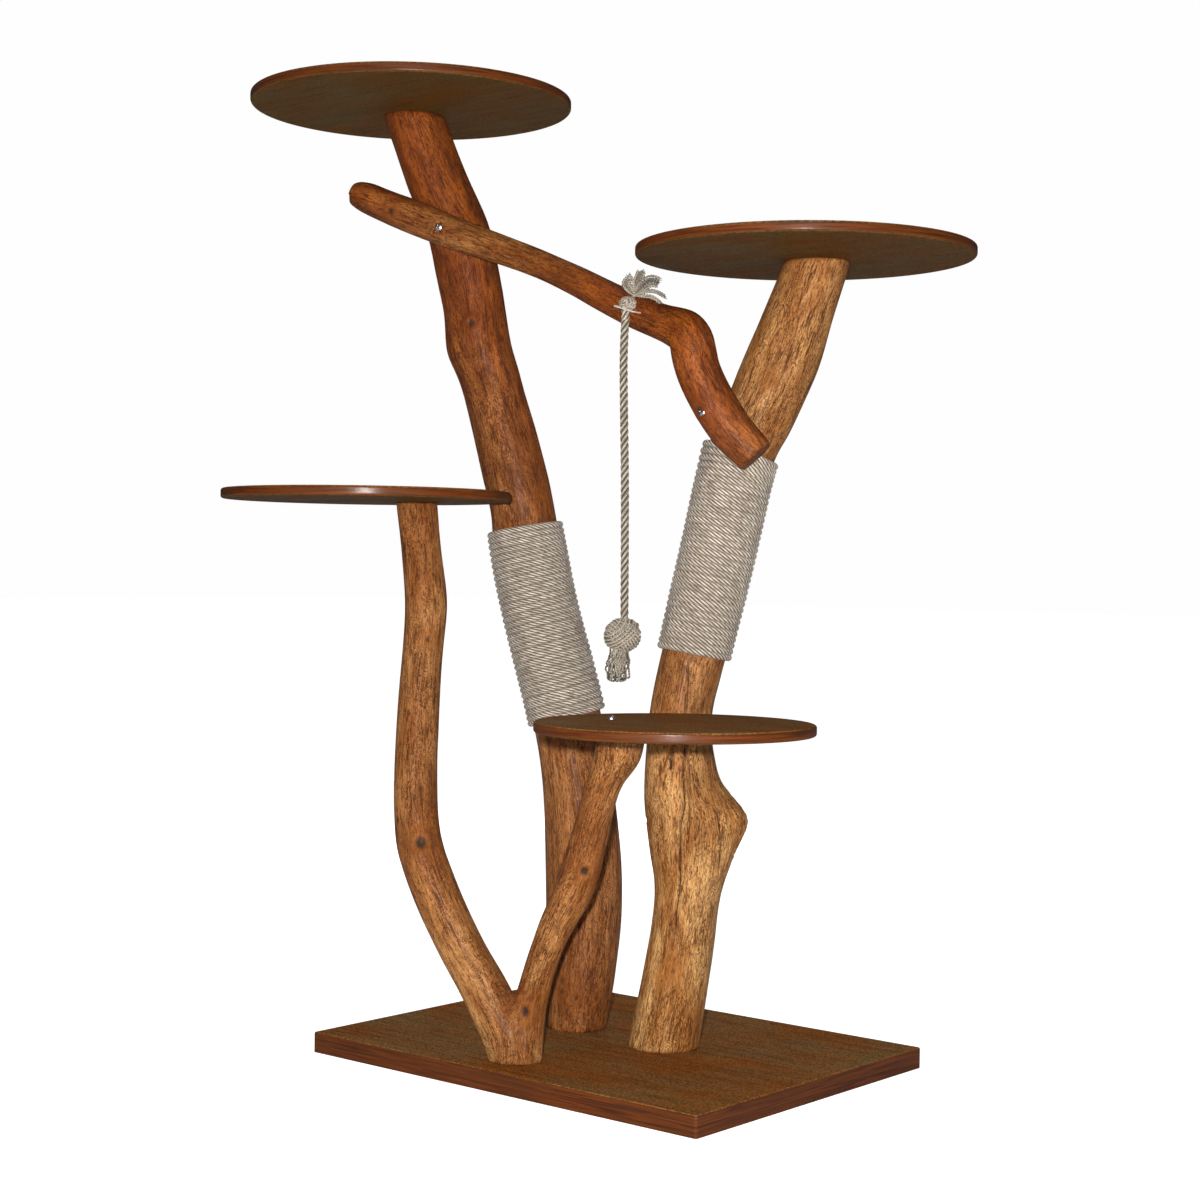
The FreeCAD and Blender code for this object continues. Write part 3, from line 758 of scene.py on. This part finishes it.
def make_bottom_tassel():
    low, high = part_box("toy_bottom_tassel")
    middle = (low + high) / 2 - ACROSS * 0.0025
    rng = np.random.default_rng(SEED + 21)
    parts = []
    for k in range(TASSEL_LOOPS):
        line, along = on_line(loop_guide(middle, low, high, k, rng), 60)
        crimp = (along / TASSEL_CRIMP)[:, None] * [1, 0, 0]
        wave = [smooth_noise(crimp + [0, k, j], 1.0, 90) for j in range(3)]
        line = line + np.stack(wave, 1) * TASSEL_WAVE
        line[:, 2] = np.maximum(line[:, 2], low.z + TASSEL_PLY)
        parts.append(yarn(line, TASSEL_PLY, 0.007, (line - np.array(middle)) * [1, 1, 0]))
    return toy_piece("bottom_tassel", joined(parts), "toy", "toy_bottom_tassel")


def make_top_knot():
    middle = PIVOT + UP * 0.0145 + ACROSS * 0.0012 + TOWARD * 0.0015
    radii = np.array([0.0098, 0.0098, 0.0078])
    parts = [painted_shade_core(middle, radii * 0.7, 71)]
    layers = [
        (0.84, ACROSS * 0.7 - UP - TOWARD * 0.3, np.linspace(-0.7, 0.7, 5)),
        (0.94, TOWARD * 0.85 - ACROSS * 0.55 + UP * 0.15, np.linspace(-0.3, 0.9, 5)),
    ]
    for k, (share, axis, offsets) in enumerate(layers):
        parts += knot_band(middle, radii * share, axis, offsets, 0.00155, 0.011, 0.04, 72 + k)
    toy_piece("top_knot", joined(parts), "root", "toy_top_knot")


def make_top_tassel():
    rng = np.random.default_rng(SEED + 33)
    root = PIVOT + UP * 0.0245 + ACROSS * 0.0085 + TOWARD * 0.001
    toward = np.array(TOWARD)
    count = 26
    parts = []
    for guide, yarns, spread in TOP_TUFTS:
        centre = [root + ACROSS * x + UP * z + TOWARD * y for x, y, z in guide]
        line, along = on_line([root - (centre[0] - root) * 0.25] + centre, count)
        run = unit(np.gradient(line, axis=0))
        side = unit(np.cross(run, toward))
        part = (along / along[-1])[:, None]
        for k in range(yarns):
            lane = (k - (yarns - 1) / 2) / max(yarns - 1, 1) * 2
            fan = side * lane * spread * np.sin(part * 2.2) + toward * rng.uniform(-0.0012, 0.0012) * part
            sway = smooth_noise(line * 120 + k * 3.1, 1.0, 40 + k)[:, None] * side * 0.0005
            stop = count - rng.integers(0, 4)
            path = (line + fan + sway)[:stop]
            # painted shade: each yarn is pale on its front, which faces the view and the key lamp, and dark
            # behind
            strand = yarn(path, 0.0019, 0.0065, toward)
            # more painted shade on every yarn, most in the middle of a broad tuft
            inner = 0.2 + 0.45 * (1 - abs(lane)) * (yarns > 2)
            strand[2]["groove"] = np.minimum(strand[2]["groove"] + inner, 1)
            parts.append(strand)
            parts += frayed_end(path[-1], run[stop - 1], rng)
    toy_piece("top_tassel", joined(parts), "root", "toy_top_tassel")


def frayed_end(place, way, rng):
    """A few loose fibres where a yarn was cut."""
    parts = []
    for _ in range(4):
        lean = way + rng.normal(0, 0.35, 3)
        tip = place + lean * rng.uniform(0.0009, 0.002)
        start = place - way * 0.001 + rng.normal(0, 0.0004, 3)
        line, _ = on_line([start, (start + tip) / 2 + rng.normal(0, 0.0003, 3), tip], 5)
        parts.append(laid_rope(line, 0.00032, 2, 0.004, 3))
    return parts


# ---- stems ----
def cad_tree(node):
    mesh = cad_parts[node].data
    return BVHTree.FromPolygons([v.co for v in mesh.vertices], [p.vertices for p in mesh.polygons])


def upright_line(node, levels=28):
    """Middles of a standing stem's level sections."""
    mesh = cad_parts[node].data
    places = np.array([v.co for v in mesh.vertices])
    ends = np.array([e.vertices for e in mesh.edges])
    a, b = places[ends[:, 0]], places[ends[:, 1]]
    low, high = places[:, 2].min(), places[:, 2].max()
    middles = []
    for z in np.linspace(low + 0.0005, high - 0.0005, levels):
        crossing = (a[:, 2] - z) * (b[:, 2] - z) < 0
        t = (z - a[crossing, 2]) / (b[crossing, 2] - a[crossing, 2])
        cut = a[crossing] + (b[crossing] - a[crossing]) * t[:, None]
        middles.append((cut.min(0) + cut.max(0)) / 2)
    middles[0][2], middles[-1][2] = low, high
    return middles


def window_median(values, rows, columns):
    """Median over a window that wraps round the stem."""
    padded = np.pad(values, ((rows, rows), (0, 0)), mode="edge")
    padded = np.pad(padded, ((0, 0), (columns, columns)), mode="wrap")
    windows = np.lib.stride_tricks.sliding_window_view(padded, (2 * rows + 1, 2 * columns + 1))
    return np.median(windows[..., ::2, ::2], axis=(-2, -1))


def measured_reach(tree, middles, tangents, spokes, inside):
    """Distances from a stem's middle line to its surface, one ring of spokes to a row."""
    rows = len(middles)
    reach = np.zeros((rows, STEM_COLUMNS))
    start, way = (RAY_INSIDE, 1) if inside else (RAY_OUTSIDE, -1)
    for i in range(rows):
        middle = Vector(middles[i])
        if i == 0:
            middle += Vector(tangents[i]) * END_GAP
        if i == rows - 1:
            middle -= Vector(tangents[i]) * END_GAP
        for j in range(STEM_COLUMNS):
            spoke = Vector(spokes[i, j])
            hit = tree.ray_cast(middle + spoke * start, spoke * way)[0]
            reach[i, j] = (hit - middle).length if hit is not None else np.nan
    return np.where(np.isnan(reach), np.nanmedian(reach, axis=1, keepdims=True), reach)


def survey(node, line, level, inside=False, widest=None):
    """A stem's surface in the design, as rings: level ones for a standing stem, square ones for a lying one.
    Rays from inside find one limb of a fork, as far out as widest times its usual radius."""
    rows = round(on_line(line, 8)[1][-1] / STEM_ROW)
    middles, along = on_line(line, rows)
    tangents = unit(np.gradient(middles, axis=0))
    angles = TAU * np.arange(STEM_COLUMNS) / STEM_COLUMNS
    if level:
        first = tangents * 0 + [1, 0, 0]
        second = tangents * 0 + [0, 1, 0]
    else:
        first = unit(np.cross(tangents, [0, 0, 1.0]))
        second = np.cross(first, tangents)
    spokes = around(first[:, None], second[:, None], angles)
    reach = measured_reach(cad_tree(node), middles, tangents, spokes, inside)
    if widest is not None:
        reach = np.minimum(reach, np.percentile(reach, 35, axis=1, keepdims=True) * widest)
    # single readings that miss the surface give way to their neighbours'
    usual = window_median(reach, 4, 8)
    reach = np.where(abs(reach - usual) > 0.0012, usual, reach)
    reach = (np.roll(reach, 1, 1) + 2 * reach + np.roll(reach, -1, 1)) / 4
    return {"middles": middles, "along": along, "spokes": spokes, "reach": reach, "angles": angles}


def nearest_on(line, places):
    """For each place, the distance to a line of points, how far along it the nearest point is (from 0 to 1)
    and that point."""
    line = np.array(line, float)
    best = np.full(len(places), np.inf)
    point = np.zeros((len(places), 3))
    where = np.zeros(len(places))
    start = 0.0
    for a, b in zip(line, line[1:]):
        run = b - a
        length = np.linalg.norm(run)
        t = np.clip((places - a) @ run / length**2, 0, 1)
        distance = np.linalg.norm(places - (a + t[:, None] * run), axis=1)
        closer = distance < best
        point[closer] = (a + t[:, None] * run)[closer]
        best = np.where(closer, distance, best)
        where = np.where(closer, start + t * length, where)
        start += length
    return best, where / start, point


def relief(straight, seed):
    """Height of the wood's own unevenness: slow swellings, flutes along the grain and fine ridges."""
    height = 0.0009 * smooth_noise(straight, (0.034, 0.034, 0.11), seed)
    height += 0.00045 * smooth_noise(straight, (0.012, 0.012, 0.07), seed + 1)
    height += 0.00022 * smooth_noise(straight, (0.0045, 0.0045, 0.035), seed + 2)
    return height


def surface_distance(offset, spokes):
    """Length of an offset along a stem's surface, without the part that goes in or out of it."""
    depth = (offset * spokes).sum(axis=1, keepdims=True)
    return np.where(abs(depth[:, 0]) < 0.015, np.linalg.norm(offset - depth * spokes, axis=1), 1.0)


def marks(node, places, spokes):
    """Height and colour values of the knots and cracks at places on a stem."""
    height = np.zeros(len(places))
    knot_value = np.zeros(len(places))
    crack_value = np.zeros(len(places))
    for middle, radius, rim in KNOTS.get(node, []):
        distance = surface_distance((places - np.array(middle)) * [1, 1, 0.8], spokes) / radius
        height += rim * np.exp(-(((distance - 1.2) / 0.55) ** 2))
        height -= 0.8 * rim * np.exp(-((distance / 0.6) ** 2))
        core = min(1.0, 0.4 + rim / 0.0025) * np.exp(-((distance / 0.82) ** 2.5))
        ring = 0.4 * np.exp(-(((distance - 1.3) / 0.24) ** 2))
        halo = 0.25 * np.exp(-((distance / 2.6) ** 2))
        knot_value = np.maximum(knot_value, np.maximum(core, np.maximum(ring, halo)))
    for line, width, depth in CRACKS.get(node, []):
        _, part, nearest = nearest_on(line, places)
        distance = surface_distance(places - nearest, spokes)
        fade = np.clip(np.minimum(part, 1 - part) * 8, 0, 1)
        groove = np.clip(1 - distance / (width * (0.35 + 0.65 * fade)), 0, 1)
        height -= depth * fade * groove
        crack_value = np.maximum(crack_value, np.clip(groove * 2.4, 0, 1) * fade)
    return height, knot_value, crack_value


def snapped(found, node):
    """Moves a stem's columns so that some lie along each crack and just beside it, which keeps it crisp."""
    spokes, middles, reach = found["spokes"], found["middles"], found["reach"]
    rows = len(middles)
    base = found["angles"]
    shift = np.zeros((rows, STEM_COLUMNS))
    for line, width, _ in CRACKS[node]:
        line = np.array(sorted(line, key=lambda place: place[2]))
        covered = (middles[:, 2] >= line[0, 2]) & (middles[:, 2] <= line[-1, 2])
        x = np.interp(middles[:, 2], line[:, 2], line[:, 0]) - middles[:, 0]
        y = np.interp(middles[:, 2], line[:, 2], line[:, 1]) - middles[:, 1]
        angle = np.arctan2(y, x) % TAU
        k = int(round(np.median(angle[covered]) / TAU * STEM_COLUMNS))
        offset = (np.arange(STEM_COLUMNS) - k + STEM_COLUMNS // 2) % STEM_COLUMNS - STEM_COLUMNS // 2
        pull = np.exp(-((offset / 9.0) ** 2))
        gap = (angle - base[k % STEM_COLUMNS] + math.pi) % TAU - math.pi
        move = gap[:, None] * pull
        tight = width / np.maximum(np.hypot(x, y), 0.01)
        for side in (-1, 1):
            move[:, (k + side) % STEM_COLUMNS] += side * (tight - TAU / STEM_COLUMNS)
        inside = np.minimum(middles[:, 2] - line[0, 2], line[-1, 2] - middles[:, 2])
        ease = np.clip((inside + 0.012) / 0.012, 0, 1)
        shift += move * ease[:, None]
    turned = base + shift
    order = base + shift * 0
    wrapped = np.concatenate([order[:, -1:] - TAU, order, order[:, :1] + TAU], 1)
    radii = np.concatenate([reach[:, -1:], reach, reach[:, :1]], 1)
    new_reach = np.stack([np.interp(turned[i] % TAU, wrapped[i], radii[i]) for i in range(rows)])
    new_spokes = np.stack([np.cos(turned), np.sin(turned), turned * 0], -1)
    return {**found, "spokes": new_spokes, "reach": new_reach}


def round_ends(surface, spokes):
    """Sanding has rounded the edges of a stem's saw cuts."""
    last = len(surface) - 1
    for step, rounding in enumerate((0.0014, 0.0004)):
        for ring in (step, last - step):
            surface[ring] -= spokes[ring] * rounding


def sawn_stem(surface, straight, tone, knot, crack):
    """A stem's rings closed by saw cuts, each of rings that shrink to a small cap."""
    rows, columns = surface.shape[:2]
    points = [surface.reshape(-1, 3)]
    rest = {"straight": [straight.reshape(-1, 3)], "tone": [tone.ravel()], "knot": [knot], "crack": [crack]}
    faces = grid_faces(rows, columns).tolist()
    count = rows * columns
    for ring, way in ((0, -1), (rows - 1, 1)):
        outer = ring * columns + np.arange(columns)
        middle = surface[ring].mean(0)
        for share in (0.9, 0.6, 0.3):
            inner = count + np.arange(columns)
            points.append(middle + (surface[ring] - middle) * share)
            rest["straight"].append(straight[ring] * [share, share, 1])
            rest["tone"].append(tone[ring])
            rest["knot"].append(np.full(columns, CUT_SHADE))
            rest["crack"].append(np.zeros(columns))
            for a, b, c, d in zip(outer, np.roll(outer, -1), np.roll(inner, -1), inner):
                faces.append([a, b, c, d][::way])
            outer = inner
            count += columns
        faces.append(outer.tolist()[::way])
    values = {key: np.concatenate(parts) for key, parts in rest.items()}
    return np.concatenate(points), faces, values


def stem_piece(node, line, level, seed, tones):
    """A whole stem: the design's surface with the wood's relief and marks, and rounded saw-cut ends.
    The tones run from one end to the other, 0 for the palest wood and 1 for the reddest."""
    found = survey(node, line, level)
    if node in CRACKS:
        found = snapped(found, node)
    middles, spokes, reach, along = found["middles"], found["spokes"], found["reach"], found["along"]
    surface = middles[:, None] + spokes * reach[..., None]
    x, y = np.cos(found["angles"]) * reach, np.sin(found["angles"]) * reach
    straight = np.stack([x, y, along[:, None] + x * 0], -1)
    height, knot, crack = marks(node, surface.reshape(-1, 3), spokes.reshape(-1, 3))
    height = (height + relief(straight.reshape(-1, 3), seed)).reshape(reach.shape)
    surface = surface + spokes * height[..., None]
    round_ends(surface, spokes)
    tone = np.interp(along / along[-1], np.linspace(0, 1, len(tones)), tones)[:, None]
    tone = np.clip(tone + 0.18 * smooth_noise(straight, TONE_CELL, seed + 5), 0, 1)
    shape = sawn_stem(surface, straight, tone, knot, crack)
    make_piece(node + "_wood", shape, "root", BRANCH, node)


def grown_fork():
    """One closed mesh of both limbs of the fork, merged where they meet."""
    limbs = []
    for line in (FORK_LEFT_LINE, FORK_RIGHT_LINE):
        found = survey("fork_post", line, True, inside=True, widest=1.35)
        surface = found["middles"][:, None] + found["spokes"] * found["reach"][..., None]
        limbs.append((surface.reshape(-1, 3), tube_faces(*found["reach"].shape), {}))
    points, faces, _ = joined(limbs)
    rough = put("rough_fork", make_mesh("rough_fork", points, faces))
    remesh = rough.modifiers.new("remesh", "REMESH")
    remesh.mode = "VOXEL"
    remesh.voxel_size = FORK_VOXEL
    mesh = evaluated_mesh(rough)
    bpy.data.objects.remove(rough)
    return mesh


def relaxed(places, ends, crotch):
    """Points moved toward their neighbours a few times, most of all in the crotch."""
    degree = np.bincount(ends.ravel(), minlength=len(places))[:, None]
    for _ in range(14):
        total = np.zeros_like(places)
        np.add.at(total, ends[:, 0], places[ends[:, 1]])
        np.add.at(total, ends[:, 1], places[ends[:, 0]])
        places = places + (total / degree - places) * (0.06 + 0.75 * crotch[:, None])
    return places


def fork_grain(places):
    """Places as they would be if both limbs were straight, so that the grain follows each one."""
    left, left_part, _ = nearest_on(FORK_LEFT_LINE, places)
    right, right_part, _ = nearest_on(FORK_RIGHT_LINE, places)
    share = np.clip(0.5 + (left - right) / 0.016, 0, 1)[:, None]
    left_middle = on_line(FORK_LEFT_LINE, 200)[0][(left_part * 199).astype(int)]
    right_middle = on_line(FORK_RIGHT_LINE, 200)[0][(right_part * 199).astype(int)]
    spoke = places - (left_middle * (1 - share) + right_middle * share)
    # a shift by about the distance between the limbs lets the grain run on across the crotch
    return np.concatenate([spoke[:, :2] + share * [0.035, 0.016], places[:, 2:] * 1.03], 1)


def fork_piece():
    """Both limbs of the fork grown into one stem, then given the wood's relief and marks."""
    mesh = grown_fork()
    places = np.array([v.co for v in mesh.vertices], float)
    ends = np.array([e.vertices for e in mesh.edges])
    lowest, highest = places[:, 2].min(), places[:, 2].max()
    crotch = np.exp(-((np.linalg.norm(places - FORK_CROTCH, axis=1) / 0.035) ** 2))
    places = relaxed(places, ends, crotch)
    mesh.vertices.foreach_set("co", places.ravel())
    mesh.update()
    normals = np.array([v.normal for v in mesh.vertices], float)
    faces = [list(p.vertices) for p in mesh.polygons]
    bpy.data.meshes.remove(mesh)

    straight = fork_grain(places)
    height, knot, crack = marks("fork_post", places, normals)
    height += relief(straight, 300)
    near_end = (places[:, 2] < lowest + 0.004) | (places[:, 2] > highest - 0.004)
    height[near_end & (abs(normals[:, 2]) > 0.75)] = 0
    places += normals * height[:, None]
    # the wood is redder in the crotch and higher up the limbs
    tone = 0.4 + 0.3 * (places[:, 2] - lowest) / (highest - lowest) + 0.35 * crotch
    tone = np.clip(tone + 0.2 * smooth_noise(straight, TONE_CELL, 305), 0, 1)
    values = {"straight": straight, "tone": tone, "knot": knot, "crack": crack}
    make_piece("fork_post_wood", (places, faces, values), "root", BRANCH, "fork_post")


# ---- wrapped rope ----
def post_radius(post, middle, spoke):
    """Distance of a post's surface from its middle along each spoke, evened out over a few."""
    tree = cad_tree(post)
    radius = np.zeros(len(middle))
    for i in range(len(middle)):
        centre, way = Vector(middle[i]), Vector(spoke[i])
        hit = tree.ray_cast(centre + way * RAY_OUTSIDE, -way)[0]
        radius[i] = (hit - centre).length if hit is not None else radius[i - 1]
    return np.convolve(np.pad(radius, 4, mode="edge"), np.ones(9) / 9, mode="valid")


def wrap_piece(name, node, post, line, pitch):
    """Rope in close turns round a post, from the bottom of the wrap in the design to its top."""
    middles, along = on_line(line, 400)
    tangents = unit(np.gradient(middles, axis=0))
    sleeve = np.array([v.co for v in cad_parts[node].data.vertices], float)
    _, parts, _ = nearest_on(middles, sleeve)
    span = parts * along[-1]
    start, stop = span.min() + pitch / 2, span.max() - pitch / 2
    turns = (stop - start) / pitch
    turn = np.linspace(0, turns, int(turns * WRAP_POINTS_PER_TURN))
    place = start + turn * pitch
    middle = between(place, along, middles)
    tangent = unit(between(place, along, tangents))
    first = unit(np.cross([0, 1.0, 0], tangent))
    spoke = around(first, np.cross(tangent, first), WRAP_START + TAU * turn)

    in_out = 0.00018 * smooth_noise(turn[:, None] * [0.31, 0, 0], 1.0, 77)
    up_down = 0.0003 * smooth_noise(turn[:, None] * [0.9, 0, 0], 1.0, 78)
    radius = post_radius(post, middle, spoke) + WRAP_BUILD - WRAP_ROPE_DIAMETER / 2 + in_out
    path = middle + spoke * radius[:, None] + tangent * up_down[:, None]
    points, faces, values = laid_rope(path, WRAP_ROPE_DIAMETER / 2, WRAP_STRANDS, WRAP_LAY, 5, 1.12)
    # painted shade darkens the rope where neighbouring turns meet
    facing = (unit(points.reshape(len(turn), -1, 3) - path[:, None]) * spoke[:, None]).sum(-1)
    painted_crease_shade = 0.32 * np.clip((0.86 - facing) / 0.34, 0, 1)
    values["groove"] = np.clip(values["groove"] + painted_crease_shade.ravel(), 0, 1)
    make_piece(name, (points, faces, values), "root", WRAP_ROPE, node)


# ---- the design's own parts that stay ----
def finish_cad_nodes():
    for name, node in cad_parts.items():
        if name == "base_board" or name.endswith("_plate"):
            material = BOARD
        elif "staple" in name:
            material = WIRE
        else:
            material = STEEL
        if not node.material_slots:
            node.data.materials.append(material)
        for socket in node.material_slots:
            socket.material = material


make_camera()
make_toy()
make_studio()
make_floor()

tall_line = upright_line("tall_post")
right_line = upright_line("right_post")
stem_piece("tall_post", tall_line, True, 100, (0.6, 0.7, 0.7, 0.85, 1.0, 1.0))
stem_piece("right_post", right_line, True, 200, (0.0, 0.05, 0.12, 0.5, 0.42, 0.4, 0.4))
# the cross branch is drawn darker toward its bend, which faces the key lamp: partly the wood's own colour,
# partly painted shade
stem_piece("cross_branch", CROSS_LINE, False, 400, (0.85, 0.7, 0.65, 0.8, 1.0, 1.0, 0.95, 0.8))
fork_piece()
wrap_piece("tall_post_rope", "tall_post_rope_wrap", "tall_post", tall_line, 0.0075)
wrap_piece("right_post_rope", "right_post_rope_wrap", "right_post", right_line, 0.00725)
finish_cad_nodes()
